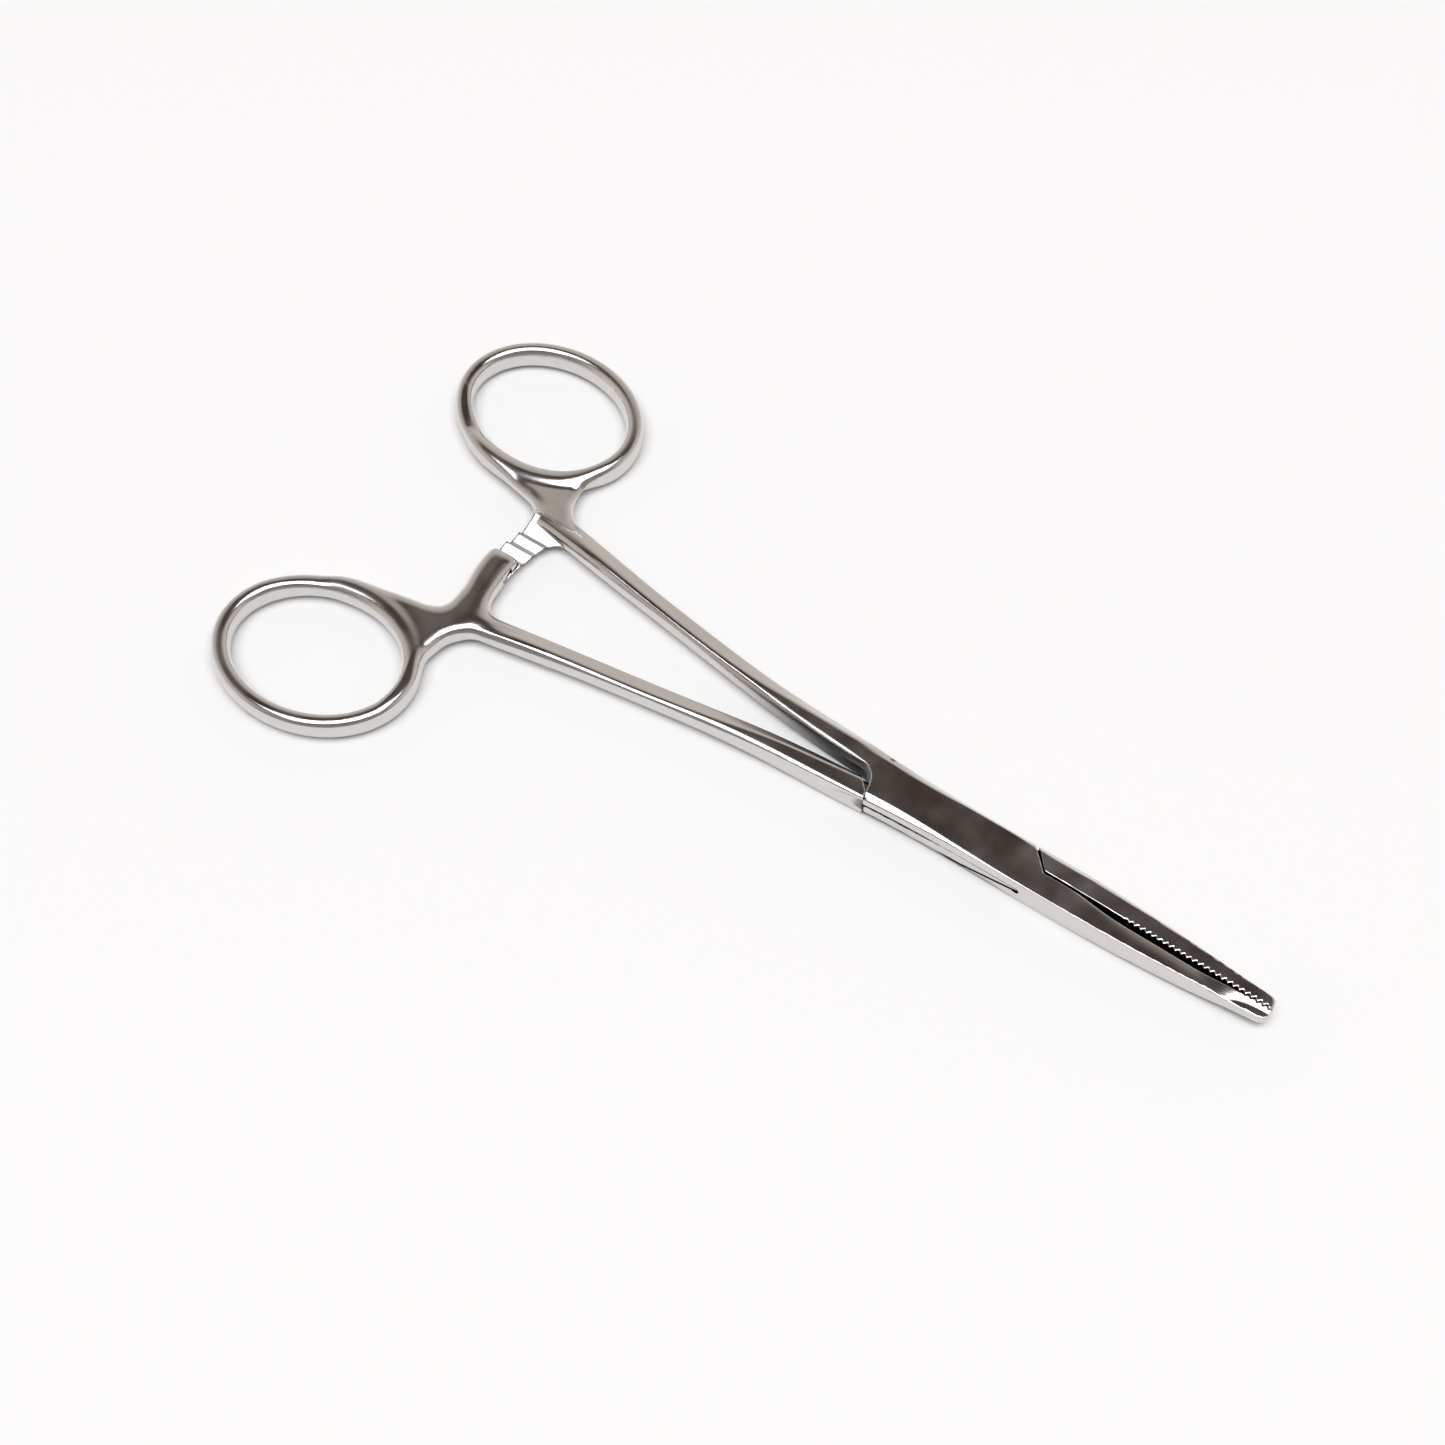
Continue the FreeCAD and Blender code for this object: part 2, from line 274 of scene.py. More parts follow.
# The web's edge inside the ring is one straight line, through this point and square to this way
WEB_CHORD = (-102.0, 17.3)
WEB_CHORD_NORMAL = (14.0, 23.0)
web_medial = spline((-106, -102.1, -97.8, -95.2, -92.7, -89, -85.5, -82),
                    (19.2, 17.2, 15.1, 14.4, 13.9, 13.1, 12.5, 12.0))
web_lateral = spline((10, 14.1, 15.9, 17.7, 20.8, 25, 29.7, 33.2),
                     (-76.5, -78.5, -79.5, -79.8, -80.0, -79.8, -78.9, -78.9))
arm_outer_x = spline((-2, 1.3, 8.3, 12, 16), (-84.5, -84.5, -83.0, -82.6, -83.5))
arm_inner_x = spline((-2, 1.0, 3.3, 6.9, 9, 12, 16), (-79.3, -79.3, -79.0, -78.5, -78.5, -79.8, -82.0))


def rack_phase(y):
    """Place within one tooth of the racks, from 0 to 1."""
    u = (y + RACK_OFFSET) / RACK_PITCH
    return u - np.floor(u)


def neck(x, y, w, s, side):
    """Flat neck between ring, shank and ratchet arm, at plan distance s from the ring's centre line.

    The far half's rack lies below and has its teeth up. The near half's is above, teeth down.
    """
    web = smax(web_medial(x) - y, x - web_lateral(y), 1.0)
    web = smax(web, -s - 0.9, 0.4)
    nx, ny = WEB_CHORD_NORMAL
    chord = (nx * (WEB_CHORD[0] - x) + ny * (y - WEB_CHORD[1])) / math.hypot(nx, ny)
    web = smax(web, chord, 3.0)
    stub = smax(y - shank_outer(x), shank_inner(x) - y, 0.6)
    stub = smax(np.maximum(stub, STUB_START - x), x - STUB_END, 1.0)
    arm = smax(arm_outer_x(y) - x, x - arm_inner_x(y), 0.8)
    arm = smax(smax(arm, ARM_END_Y - y, 1.2), y - ARM_ROOT_Y, 0.3)
    plan = smin(smin(web, stub, 2.5), arm, 4.5)
    high = NECK_HALF_HEIGHT[side] - NECK_TAPER * step(x, -80.0, STUB_END)
    if side == FAR:
        high = high - NECK_FALL * np.maximum(y - NECK_FALL_Y, 0) * step(x, -96.0, -88.0)
    w = w * side
    teeth = -RACK_CLEARANCE - RACK_DEPTH + rack_phase(y) * RACK_DEPTH
    if side == FAR:
        past_rack = step(y, *LOWER_RACK_END)
        plate = PLATE_SLOPE * (y - PLATE_START) - RACK_DEPTH
        top = teeth * (1 - past_rack) + past_rack * plate + NO_CUT * step(y, *PLATE_END)
    else:
        top = teeth + NO_CUT * step(y, *UPPER_RACK_END)
    body = smax(plan, np.abs(w) - high, 2.0)
    return smax(body, w - top, 0.15)


def half_outer(x, y, w, side):
    """Everything of one half behind the lock. The near half's ring and neck are mirrored in y."""
    ym = y * side
    s = ring_distance(x, ym, RING_Y[side])
    flattened = TUBE_FLATTENED[side] * step(-ym, -TUBE_ROUND_Y, -TUBE_FLAT_Y)
    dx, dy = (x - RING_X) / RING_LONG ** 2, (ym - RING_Y[side]) / RING_SHORT ** 2
    lean = RING_LEAN[side] * dy / (np.hypot(dx, dy) + 1e-6)
    tube = ring(s, w, TUBE_HALF_HEIGHT - flattened, lean)
    handle = smin(tube, neck(x, ym, w, s, side), RING_BLEND[side])
    return smin(shank(x, y, w, side), handle, SHANK_BLEND[side])


# ---------------------------------------------------------------- lock and jaws, cut into halves
def tooth_wave(x):
    """Zigzag of the jaws' teeth, from 0 to 1."""
    u = (TIP_X - x) / TOOTH_PITCH
    return np.abs(u - np.floor(u) - 0.5) * 2


def jaw_gap(x, side):
    """Toothed edge of the gap between the jaws: 0.42 mm wide at its root, 0.1 mm at the tip."""
    t = np.clip((x - SHOULDER_ROOT[0]) / (TIP_X - SHOULDER_ROOT[0]), 0, 1)
    middle = 0.18 * (1 - t)
    half = 0.16 * (1 - t) + 0.05
    teeth = (tooth_wave(x) - 0.5) * TOOTH_DEPTH * step(x, *TEETH_GROW)
    return middle + side * half + teeth


def far_jaw_region(x, y, gap):
    """Negative on the far jaw's side of the joint across the box, drawn back by gap."""
    kx, ky = SHOULDER_KNEE
    rx, ry = SHOULDER_ROOT
    length = math.hypot(rx - kx, ky - ry)
    diagonal = ((ky - ry) * (kx - x) + (rx - kx) * (ky - y)) / length
    upright = SHOULDER_X - x
    line = smax(upright, diagonal, 0.3)
    line = line + gap * (1 + 0.7 * step(y, 1.0, 3.0))
    return smax(line, jaw_gap(x, FAR if gap >= 0 else NEAR) - y, 0.1)


def behind_lock(x, y, r):
    """Negative in the space behind the plates, between the two shanks."""
    space = smax(y - shank_inner(x) - 0.15, LOCK_RADIUS + 0.15 - r, 3.2)
    return np.maximum(space, x + 5.0)


def jaw_facets(x, y, w):
    """Ground facets on top of the near jaw: a wide one, and a steep one along the gap.

    The wide one leans away from the near edge behind, and turns over to lean out at the tip.
    """
    drop = np.abs(w) - box_high(x)
    behind = 9.0 * (1 - step(x, 13.0, 15.5))
    ridge = -2.4 + 2.7 * (1 - step(x, 15.0, 31.0)) + behind
    crease = -0.72 + 0.97 * (1 - step(x, 15.0, 27.0)) + 0.9 * step(x, 38.0, 50.0) + behind
    slope = FACET_SLOPE - 0.44 * step(x, 38.0, 51.0)
    level = 0.5 + NO_CUT * (1 - step(x, 36.0, 38.0))
    wide = smin(drop - FACET_SLOPE * ridge + slope * y, drop + level, 0.04)
    steep = drop - FACET_SLOPE * ridge + slope * crease + y - crease
    return smax(wide, 0.7 * steep, 0.08)


def slot_floor(x, y, depth):
    """Height of the slot's floor. Near the outside it climbs to where the tongue's edge runs out."""
    climb = np.clip((x - CLIMB_START) / CLIMB_LENGTH, 0, 1) * (CLIMB_TOP - SLOT_BOTTOM)
    return SLOT_BOTTOM + climb * step(-y, box_half(x) - depth - 0.12, box_half(x) - depth)


def slotted(x, y, z):
    """The slotted half: far ring and shank, lower rack, the lock's two plates and the near jaw."""
    w = z - MID_Z
    r = np.hypot(x, y)
    jaws = smax(box(x, y, w), jaw_facets(x, y, w), 0.15)
    jaws = smax(jaws, -far_jaw_region(x, y, -JOINT_GAP), 0.1)
    plates = smax(jaws, -behind_lock(x, y, r), 0.15)
    t = step(x, -19, -14)
    body = half_outer(x, y, w, FAR) * (1 - t) + plates * t
    # slot for the tongue, relieved along its outer edges
    relief = step(-y, box_half(x) - 1.6, box_half(x) - 1.4)
    z0 = slot_floor(x, y, PLATE_EDGE) - RUNNING_GAP - 0.22 * relief * step(x, -1, 2)
    z1 = SLOT_TOP + RUNNING_GAP
    layer = np.maximum(z0 - z, z - z1)
    mouth = np.maximum(np.maximum(-x, x - SHOULDER_ROOT[0] - 1.0), -0.3 - y)
    slot = np.maximum(np.minimum(r - TONGUE_RADIUS - 0.1, mouth), layer)
    body = smax(body, -slot, 0.06)
    hole = np.maximum(np.hypot(x - RUNOUT_X, z - RUNOUT_Z) - RUNOUT_RADIUS, y - RUNOUT_DEPTH_Y)
    body = smax(body, -hole, 0.05)
    pin_hole = np.maximum(r - PIN_RADIUS - PIN_CLEARANCE, np.abs(w) - PIN_HOLE_HALF_HEIGHT)
    return smax(body, -pin_hole, 0.03)


def tongue(x, y, z):
    """The tongue half: near ring and shank, upper rack, the tongue through the lock and the far jaw."""
    w = z - MID_Z
    r = np.hypot(x, y)
    outer = box(x, y, w)
    body = half_outer(x, y, w, NEAR)
    rear = smax(body, LOCK_RADIUS + 0.2 - r, 0.12)
    nx, ny = END_FACE_NORMAL
    end_face = nx * (x - END_FACE[0]) + ny * (y - END_FACE[1])
    rear = smax(rear, end_face, 0.12)
    relief = step(-y, box_half(x) - 1.0, box_half(x) - 0.85)
    floor = slot_floor(x, y, TONGUE_EDGE) + 0.2 * relief * step(x, -1, 2)
    ceiling = SLOT_TOP - relief * (0.55 - 0.45 * step(x, -7, 3))
    layer = np.maximum(floor - z, z - ceiling)
    mouth = np.maximum(np.maximum(-x, x - SHOULDER_ROOT[0] - 0.9), -0.2 - y)
    disc = np.minimum(r - TONGUE_RADIUS, mouth)
    link = np.maximum(body, r - LOCK_RADIUS - 2.5)
    blade = smax(np.minimum(smax(outer, disc, 0.1), link), layer, 0.1)
    jaw_side = far_jaw_region(x, y, JOINT_GAP)
    # narrow bevel above the teeth, from where they start
    tooth_edge = (np.abs(w) - box_high(x) + TOOTH_BEVEL * (jaw_side + 0.15)) / 1.07
    tooth_edge = tooth_edge - 5.0 * (1 - step(x, 26, 27))
    jaw = smax(smax(outer, jaw_side, 0.06), tooth_edge, 0.03)
    whole = np.minimum(np.minimum(rear, blade), jaw)
    return smax(whole, PIN_RADIUS + PIN_CLEARANCE - r, 0.04)


def painted_shade(x, y, z, side):
    """1 where shade is painted on the steel as near black: in the lock, its joints, the rack's grooves
    and the teeth.
    """
    r = np.hypot(x, y)
    inside = box_half(x) - np.abs(y)
    below_skin = step(inside, 0.015, 0.06)
    # painted shade inside the lock's slot, weaker on the tongue half
    slot = below_skin * step(z, 0.3, 0.45) * step(-z, -3.3, -3.0) * (r < LOCK_RADIUS + 0.1)
    if side == NEAR:
        slot = slot * (0.8 - 0.5 * step(inside, 0.8, 1.1))
    # painted shade in the small runout hole
    hole = np.hypot(x - RUNOUT_X, z - RUNOUT_Z) < RUNOUT_RADIUS + 0.15
    # painted shade in the joint in front of the lock, and in the crotch between the shanks behind it
    joint = (np.abs(far_jaw_region(x, y, 0)) < 0.2) * (x < 15.2) * step(-z, -4.35, -4.25)
    between = step(shank_inner(x) + 0.5 - np.abs(y), 0, 0.25) * step(x, -44, -19) * (x < -12.0)
    crotch = between * step(-z, -4.3, -3.6) * 0.95
    # painted shade where the plates end against the shanks
    plate_end = (np.abs(r - LOCK_RADIUS) < 0.35) * (x < -8) * step(-z, -4.3, -4.0)
    plate_end = plate_end * step(inside, 0.15, 0.3)
    # painted shade in the grooves of the far half's rack
    phase = rack_phase(y * side)
    grooves = ((phase > 0.84) | (phase < 0.26)) * (y > 1.5) * (y < 7.6) * (x < -78) * (side == FAR)
    grooves = grooves * (np.abs(z - MID_Z) < 1.0) * 0.8
    # painted shade on the jaws' teeth below their lit crests, and on the facet along the gap
    lit = 0.08 + step(x, 24, 27) * np.where((tooth_wave(x) < 0.5) & (side == NEAR), 0.5, 0.0)
    below_top = step(MID_Z + box_high(x) - lit - z, 0, 0.1) * (x > 14.0)
    gap = np.where(np.abs(y - 0.1) < 0.35, 0.9 - 0.45 * step(x, 38, 48), 0.0)
    bevel = np.where((y > -0.72) & (y < 0), 0.6 - 0.6 * step(x, 38, 45), 0.0)
    jaws = np.maximum(gap, bevel) * below_top
    marks = (slot, hole * below_skin, joint, crotch, plate_end, grooves, jaws)
    return np.maximum.reduce([np.asarray(mark, float) for mark in marks])


# ---------------------------------------------------------------- surface mesh of an implicit solid
UNSAMPLED = 5.0                 # value of the field in columns that the solid doesn't come near
COLUMN_MARGIN = 1.2
ROOT_STEPS = 3
PULL_TO_MIDDLE = 0.06
SHARP_EDGE = math.radians(25)


def grid_lines(bounds):
    """Grid positions along one axis, from pairs of end and pitch. The first pair gives the start."""
    lines = [bounds[0][0]]
    for end, pitch in bounds[1:]:
        start = lines[-1]
        count = max(1, int(round((end - start) / pitch)))
        lines.extend(start + (end - start) * (i + 1) / count for i in range(count))
    return np.array(lines)


def evaluate(solid, points, chunk=400000):
    """The solid's value at each point, in chunks that keep memory small."""
    out = np.empty(len(points))
    for i in range(0, len(points), chunk):
        p = points[i:i + chunk]
        out[i:i + chunk] = solid(p[:, 0], p[:, 1], p[:, 2])
    return out


def gradient(solid, points, h=0.02):
    """Unit vector out of the solid at each point."""
    g = np.empty((len(points), 3))
    for axis in range(3):
        d = np.zeros(3)
        d[axis] = h
        g[:, axis] = evaluate(solid, points + d) - evaluate(solid, points - d)
    return g / np.maximum(np.linalg.norm(g, axis=1), 1e-9)[:, None]


def sample_field(solid, xs, ys, zs):
    """The solid's value on the grid, worked out only in columns that come near it."""
    nz = len(zs)
    field = np.full((len(xs), len(ys), nz), UNSAMPLED)
    gx, gy = np.meshgrid(xs, ys, indexing="ij")
    near = np.zeros(gx.shape, bool)
    for z in np.linspace(zs[0], zs[-1], 9)[1:-1]:
        near |= solid(gx, gy, np.full(gx.shape, z)) < COLUMN_MARGIN
    ix, iy = np.nonzero(near)
    px = np.repeat(xs[ix], nz)
    py = np.repeat(ys[iy], nz)
    pz = np.tile(zs, len(ix))
    field[ix, iy, :] = evaluate(solid, np.column_stack((px, py, pz))).reshape(-1, nz)
    return field


def find_crossings(solid, a, b, fa, fb):
    """Points where the surface crosses the grid edges from a to b, with values fa and fb there."""
    for _ in range(ROOT_STEPS):
        t = np.clip(fa / (fa - fb), 0.02, 0.98)[:, None]
        c = a + (b - a) * t
        fc = evaluate(solid, c)
        same = (fc < 0) == (fa < 0)
        a[same], fa[same] = c[same], fc[same]
        b[~same], fb[~same] = c[~same], fc[~same]
    t = np.clip(fa / (fa - fb), 0, 1)[:, None]
    return a + (b - a) * t


def fit_vertices(points, normals, where, cell_count):
    """The point of each cell that lies nearest to its planes, pulled a little to their middle.

    where gives the cell that each point and normal counts for.
    """
    count = np.bincount(where).astype(float)
    centre = np.column_stack([np.bincount(where, points[:, k]) for k in range(3)]) / count[:, None]
    offset = ((points - centre[where]) * normals).sum(1)
    ata = np.zeros((cell_count, 3, 3))
    atb = np.zeros((cell_count, 3))
    for i in range(3):
        atb[:, i] = np.bincount(where, normals[:, i] * offset)
        for j in range(3):
            ata[:, i, j] = np.bincount(where, normals[:, i] * normals[:, j])
    ata += np.eye(3) * PULL_TO_MIDDLE * count[:, None, None]
    move = np.linalg.solve(ata, atb[:, :, None])[:, :, 0]
    return centre + move


def build_surface(solid, xs, ys, zs):
    """Dual contouring: one vertex in each grid cell that the surface crosses."""
    ny, nz = len(ys), len(zs)
    axes = (xs, ys, zs)
    field = sample_field(solid, xs, ys, zs)
    inside = field < 0
    crossings, owners, quads = [], [], []
    for axis in range(3):
        lo = [slice(None)] * 3
        hi = [slice(None)] * 3
        lo[axis] = slice(0, -1)
        hi[axis] = slice(1, None)
        index = np.argwhere(inside[tuple(lo)] != inside[tuple(hi)])
        other = index.copy()
        other[:, axis] += 1
        a = np.column_stack([axes[k][index[:, k]] for k in range(3)])
        b = np.column_stack([axes[k][other[:, k]] for k in range(3)])
        fa, fb = field[tuple(index.T)], field[tuple(other.T)]
        crossings.append(find_crossings(solid, a, b, fa, fb))
        # the four cells round each edge, in order, make a quad
        u, v = (axis + 1) % 3, (axis + 2) % 3
        cells = []
        for du, dv in ((0, 0), (-1, 0), (-1, -1), (0, -1)):
            cell = index.copy()
            cell[:, u] += du
            cell[:, v] += dv
            cells.append((cell[:, 0] * ny + cell[:, 1]) * nz + cell[:, 2])
        owners.extend(cells)
        cells = np.column_stack(cells)
        outward = inside[tuple(index.T)]
        quads.append(np.where(outward[:, None], cells, cells[:, ::-1]))
    normals = gradient(solid, np.concatenate(crossings))
    starts = np.cumsum([0] + [len(points) for points in crossings])
    all_points = np.concatenate([np.tile(points, (4, 1)) for points in crossings])
    all_normals = np.concatenate([np.tile(normals[starts[k]:starts[k + 1]], (4, 1)) for k in range(3)])
    ids, where = np.unique(np.concatenate(owners), return_inverse=True)
    vertex = fit_vertices(all_points, all_normals, where, len(ids))
    # each vertex stays in its own cell
    i = np.column_stack((ids // (ny * nz), ids // nz % ny, ids % nz))
    low = np.column_stack([axes[k][i[:, k]] for k in range(3)])
    high = np.column_stack([axes[k][np.minimum(i[:, k] + 1, len(axes[k]) - 1)] for k in range(3)])
    faces = np.searchsorted(ids, np.concatenate(quads))
    return np.clip(vertex, low, high), faces


def quad_mesh(name, vertex, faces):
    """Smooth mesh of quads."""
    mesh = bpy.data.meshes.new(name)
    mesh.vertices.add(len(vertex))
    mesh.vertices.foreach_set("co", (vertex * MM).ravel())
    mesh.loops.add(faces.size)
    mesh.loops.foreach_set("vertex_index", faces.ravel().astype(np.int32))
    mesh.polygons.add(len(faces))
    mesh.polygons.foreach_set("loop_start", np.arange(0, faces.size, 4, dtype=np.int32))
    mesh.polygons.foreach_set("loop_total", np.full(len(faces), 4, dtype=np.int32))
    mesh.update(calc_edges=True)
    mesh.polygons.foreach_set("use_smooth", np.ones(len(faces), bool))
    mesh.validate()
    return mesh


def mesh_piece(name, solid, side, xs, ys, zs, material):
    """Mesh object of a solid, with its exact normals and its painted shade as an attribute."""
    vertex, faces = build_surface(solid, xs, ys, zs)
    mesh = quad_mesh(name, vertex, faces)
    # normals are shared on smooth surfaces, and split where the surface turns sharply
    at_vertex = gradient(solid, vertex)
    corners = vertex[faces]
    middle = corners.mean(1, keepdims=True)
    probe = (corners * 0.6 + middle * 0.4).reshape(-1, 3)
    at_corner = gradient(solid, probe)
    shared = at_vertex[faces.ravel()]
    sharp = (at_corner * shared).sum(1) < math.cos(SHARP_EDGE)
    normal = np.where(sharp[:, None], at_corner, shared)
    mesh.normals_split_custom_set(normal.astype(np.float32))
    # painted shade in hollows and gaps, stored per corner
    shade_attribute = mesh.attributes.new("painted_shade", "FLOAT", "CORNER")
    at = probe * 0.5 + corners.reshape(-1, 3) * 0.5
    shade_attribute.data.foreach_set("value", painted_shade(at[:, 0], at[:, 1], at[:, 2], side).astype(np.float32))
    mesh.materials.append(material)
    piece = bpy.data.objects.new(name, mesh)
    bpy.context.collection.objects.link(piece)
    return piece


# ---------------------------------------------------------------- camera, floor and light
CAM_AZIMUTH = 34.9
CAM_ELEVATION = 57.14
CAM_DISTANCE = 307 * MM
CAM_TARGET = Vector((-38.2, -2.4, -0.8)) * MM
CAM_LENS = 51.53
CAM_SENSOR = 36.0

FLOOR_HALF_SIDE = 2.0
PAPER_WHITE = 0.86

LAMP_AIM = Vector((-30, 0, 0)) * MM
LAMP_ELEVATION = 80
LAMP_DISTANCE = 3.6
LAMP_SIZE = (4.2, 2.625)
LAMP_POWER = 148.5
LAMP_COLOUR = (0.972, 0.986, 1.0)

# The room's colour by height, which is the sine of the elevation above the horizon
ROOM_STOPS = [(0.0, (0.76, 0.71, 0.66)), (0.30, (0.69, 0.64, 0.59)), (0.55, (0.57, 0.53, 0.485)),
              (0.69, (0.46, 0.42, 0.385)), (0.79, (0.06, 0.045, 0.04)), (0.86, (0.045, 0.028, 0.022)),
              (1.0, (0.10, 0.09, 0.085))]
# The room is darker by this on the side that the photograph was taken from
VIEWER_SIDE_SHADE = (0.42, 0.42, 0.44, 1)

# Sockets of a Mix node that mixes colours
MIX_FACTOR, MIX_A, MIX_B, MIX_RESULT = 0, 6, 7, 2


def set_inputs(node, values):
    """Set a node's unlinked inputs by name."""
    for name, value in values.items():
        node.inputs[name].default_value = value


def add_colour_mix(nodes, blend="MIX"):
    """Mix node for colours."""
    mix = nodes.new("ShaderNodeMix")
    mix.data_type = "RGBA"
    mix.blend_type = blend
    return mix


def back_vector(azimuth, elevation):
    """Unit vector from the object towards a viewer at this azimuth and elevation, in degrees."""
    az, el = math.radians(azimuth), math.radians(elevation)
    return Vector((math.sin(az) * math.cos(el), -math.cos(az) * math.cos(el), math.sin(el)))


def place(data, name, aim, azimuth, elevation, distance):
    """Add an object to the scene that looks at a point from a distance."""
    item = bpy.data.objects.new(name, data)
    bpy.context.collection.objects.link(item)
    back = back_vector(azimuth, elevation)
    item.location = aim + back * distance
    item.rotation_euler = (-back).to_track_quat("-Z", "Y").to_euler()
    return item


def add_camera():
    """Camera at the photograph's viewing angle."""
    data = bpy.data.cameras.new("camera")
    data.lens = CAM_LENS
    data.sensor_width = CAM_SENSOR
    data.clip_start = 0.01
    data.clip_end = 20.0
    camera = place(data, "camera", CAM_TARGET, CAM_AZIMUTH, CAM_ELEVATION, CAM_DISTANCE)
    bpy.context.scene.camera = camera


def add_lamp():
    """Broad soft lamp overhead, a little towards the viewer."""
    data = bpy.data.lights.new("overhead", "AREA")
    data.shape = "RECTANGLE"
    data.size, data.size_y = LAMP_SIZE
    data.energy = LAMP_POWER
    data.color = LAMP_COLOUR
    place(data, "overhead", LAMP_AIM, CAM_AZIMUTH, LAMP_ELEVATION, LAMP_DISTANCE)


def add_floor():
    """Square of plain matt white paper."""
    mesh = bpy.data.meshes.new("floor")
    a = FLOOR_HALF_SIDE
    mesh.from_pydata([(-a, -a, 0), (a, -a, 0), (a, a, 0), (-a, a, 0)], [], [(0, 1, 2, 3)])
    floor = bpy.data.objects.new("floor", mesh)
    bpy.context.collection.objects.link(floor)
    paper = bpy.data.materials.new("paper")
    paper.use_nodes = True
    set_inputs(paper.node_tree.nodes["Principled BSDF"], {
        "Base Color": (PAPER_WHITE, PAPER_WHITE, PAPER_WHITE, 1),
        "Roughness": 1.0,
        "Specular IOR Level": 0.0,
    })
    mesh.materials.append(paper)


def add_room():
    """What the steel reflects: a room whose brightness falls with height."""
    world = bpy.data.worlds.new("studio")
    bpy.context.scene.world = world
    world.use_nodes = True
    nodes, links = world.node_tree.nodes, world.node_tree.links
    coord = nodes.new("ShaderNodeTexCoord")
    split = nodes.new("ShaderNodeSeparateXYZ")
    ramp = nodes.new("ShaderNodeValToRGB")
    links.new(coord.outputs["Generated"], split.inputs[0])
    links.new(split.outputs["Z"], ramp.inputs["Fac"])
    elements = ramp.color_ramp.elements
    for element, (position, colour) in ((elements[0], ROOM_STOPS[0]), (elements[1], ROOM_STOPS[-1])):
        element.position = position
        element.color = colour + (1,)
    for position, colour in ROOM_STOPS[1:-1]:
        elements.new(position).color = colour + (1,)
    towards = nodes.new("ShaderNodeVectorMath")
    towards.operation = "DOT_PRODUCT"
    azimuth = math.radians(CAM_AZIMUTH)
    towards.inputs[1].default_value = (math.sin(azimuth), -math.cos(azimuth), 0)
    links.new(coord.outputs["Generated"], towards.inputs[0])
    side_range = nodes.new("ShaderNodeMapRange")
    side_range.interpolation_type = "SMOOTHSTEP"
    set_inputs(side_range, {"From Min": 0.15, "From Max": 0.65})
    links.new(towards.outputs["Value"], side_range.inputs["Value"])
    shade = add_colour_mix(nodes, "MULTIPLY")
    shade.inputs[MIX_B].default_value = VIEWER_SIDE_SHADE
    links.new(side_range.outputs["Result"], shade.inputs[MIX_FACTOR])
    links.new(ramp.outputs["Color"], shade.inputs[MIX_A])
    links.new(shade.outputs[MIX_RESULT], nodes["Background"].inputs["Color"])
    nodes["Background"].inputs["Strength"].default_value = 1.0


# ---------------------------------------------------------------- steel
STEEL_TINT = (0.72, 0.70, 0.68)
DARKER_GRAIN = 0.88
# near black, painted as shade in hollows and gaps
PAINTED_SHADE_COLOUR = (0.012, 0.010, 0.009, 1)
GRAIN_SCALE = (90.0, 1500.0, 1500.0)    # the grinding marks run along the instrument


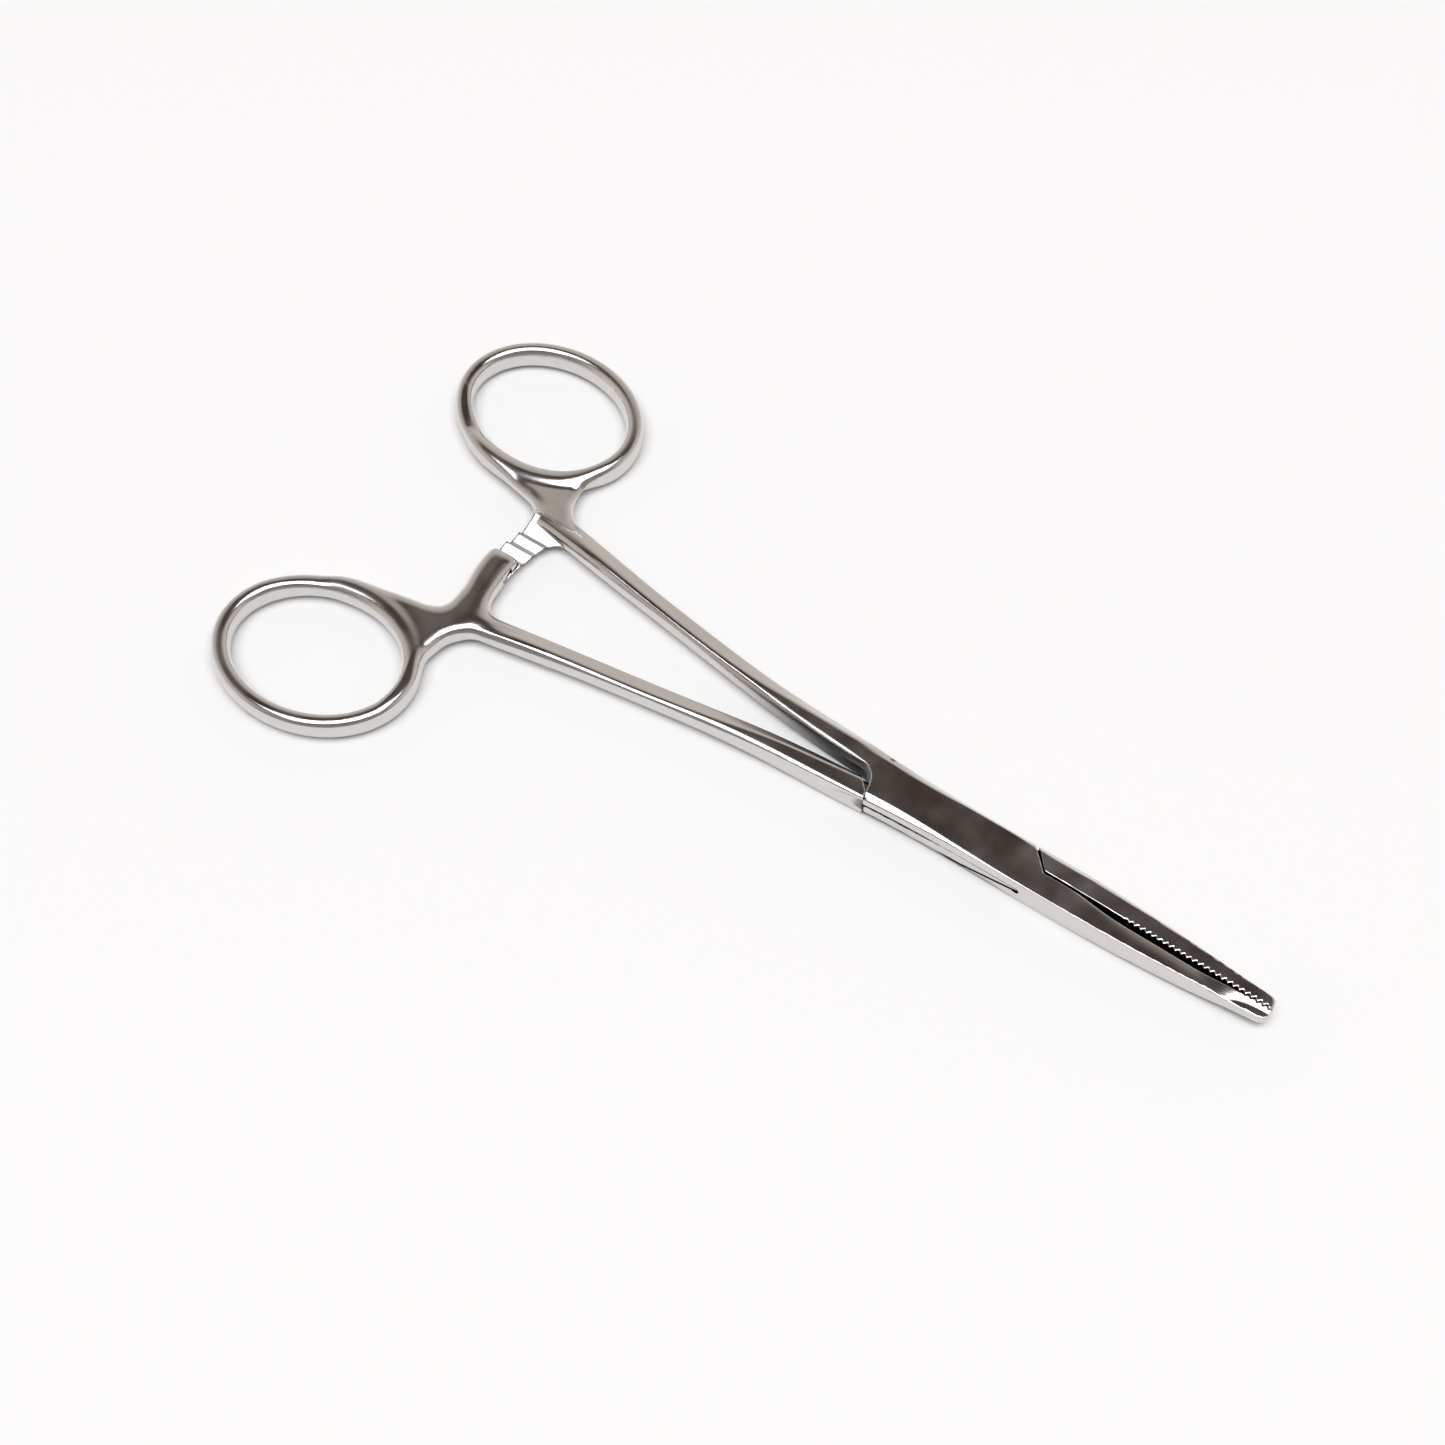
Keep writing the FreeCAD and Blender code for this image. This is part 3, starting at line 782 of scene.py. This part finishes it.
def steel_material(name, tint):
    """Polished stainless steel with faint lengthwise grinding marks, and painted shade that darkens it
    in hollows and gaps.
    """
    material = bpy.data.materials.new(name)
    material.use_nodes = True
    nodes, links = material.node_tree.nodes, material.node_tree.links
    bsdf = nodes["Principled BSDF"]
    bsdf.inputs["Metallic"].default_value = 1.0
    coord = nodes.new("ShaderNodeTexCoord")
    stretch = nodes.new("ShaderNodeMapping")
    stretch.inputs["Scale"].default_value = GRAIN_SCALE
    links.new(coord.outputs["Object"], stretch.inputs["Vector"])
    grain = nodes.new("ShaderNodeTexNoise")
    set_inputs(grain, {"Scale": 1.0, "Detail": 3.0})
    links.new(stretch.outputs["Vector"], grain.inputs["Vector"])
    cloud = nodes.new("ShaderNodeTexNoise")
    set_inputs(cloud, {"Scale": 160.0, "Detail": 4.0})
    links.new(coord.outputs["Object"], cloud.inputs["Vector"])
    rough = nodes.new("ShaderNodeMapRange")
    set_inputs(rough, {"From Min": 0.3, "From Max": 0.7, "To Min": 0.13, "To Max": 0.23})
    links.new(cloud.outputs["Fac"], rough.inputs["Value"])
    tone = add_colour_mix(nodes)
    tone.inputs[MIX_A].default_value = tuple(DARKER_GRAIN * c for c in tint) + (1,)
    tone.inputs[MIX_B].default_value = tuple(tint) + (1,)
    links.new(grain.outputs["Fac"], tone.inputs[MIX_FACTOR])
    # painted shade: the colour goes towards near black where the stored shade attribute says
    painted_shade_value = nodes.new("ShaderNodeAttribute")
    painted_shade_value.attribute_name = "painted_shade"
    dark = add_colour_mix(nodes)
    dark.inputs[MIX_B].default_value = PAINTED_SHADE_COLOUR
    links.new(painted_shade_value.outputs["Fac"], dark.inputs[MIX_FACTOR])
    links.new(tone.outputs[MIX_RESULT], dark.inputs[MIX_A])
    links.new(dark.outputs[MIX_RESULT], bsdf.inputs["Base Color"])
    links.new(rough.outputs["Result"], bsdf.inputs["Roughness"])
    bump = nodes.new("ShaderNodeBump")
    set_inputs(bump, {"Strength": 0.06, "Distance": 0.0001})
    links.new(grain.outputs["Fac"], bump.inputs["Height"])
    links.new(bump.outputs["Normal"], bsdf.inputs["Normal"])
    return material


# ---------------------------------------------------------------- the scene
add_camera()
add_floor()
add_room()
bpy.context.scene.view_settings.view_transform = "Standard"
add_lamp()
steel = steel_material("steel", STEEL_TINT)

# The grid is finer at the ratchet, the lock and the teeth
XS = grid_lines([(-111.2, 0), (-86.0, 0.33), (-76.0, 0.21), (-18.0, 0.58), (-11.0, 0.18), (-2.2, 0.38),
                 (2.2, 0.2), (10.0, 0.38), (16.0, 0.18), (23.4, 0.32), (50.6, 0.155)])
YS_FAR = grid_lines([(-5.1, 0), (-4.2, 0.22), (-2.5, 0.12), (-1.2, 0.2), (0.7, 0.11), (42.6, 0.23)])
YS_NEAR = grid_lines([(-42.6, 0), (-4.2, 0.23), (-2.5, 0.12), (-1.2, 0.2), (0.7, 0.11), (5.1, 0.22)])
ZS = grid_lines([(-0.17, 0), (0.5, 0.2), (1.2, 0.1), (1.8, 0.2), (3.1, 0.1), (4.57, 0.24)])
far_half = mesh_piece("slotted_half_steel", slotted, 1, XS, YS_FAR, ZS, steel)
near_half = mesh_piece("tongue_half_steel", tongue, -1, XS, YS_NEAR, ZS, steel)
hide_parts("slotted_half")
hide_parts("tongue_half")
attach(far_half, "slotted_body")
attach(near_half, "tongue_body")
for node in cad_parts.values():
    node.data.materials.clear()
    node.data.materials.append(steel)
    node.material_slots[0].link = "OBJECT"
    node.material_slots[0].material = steel
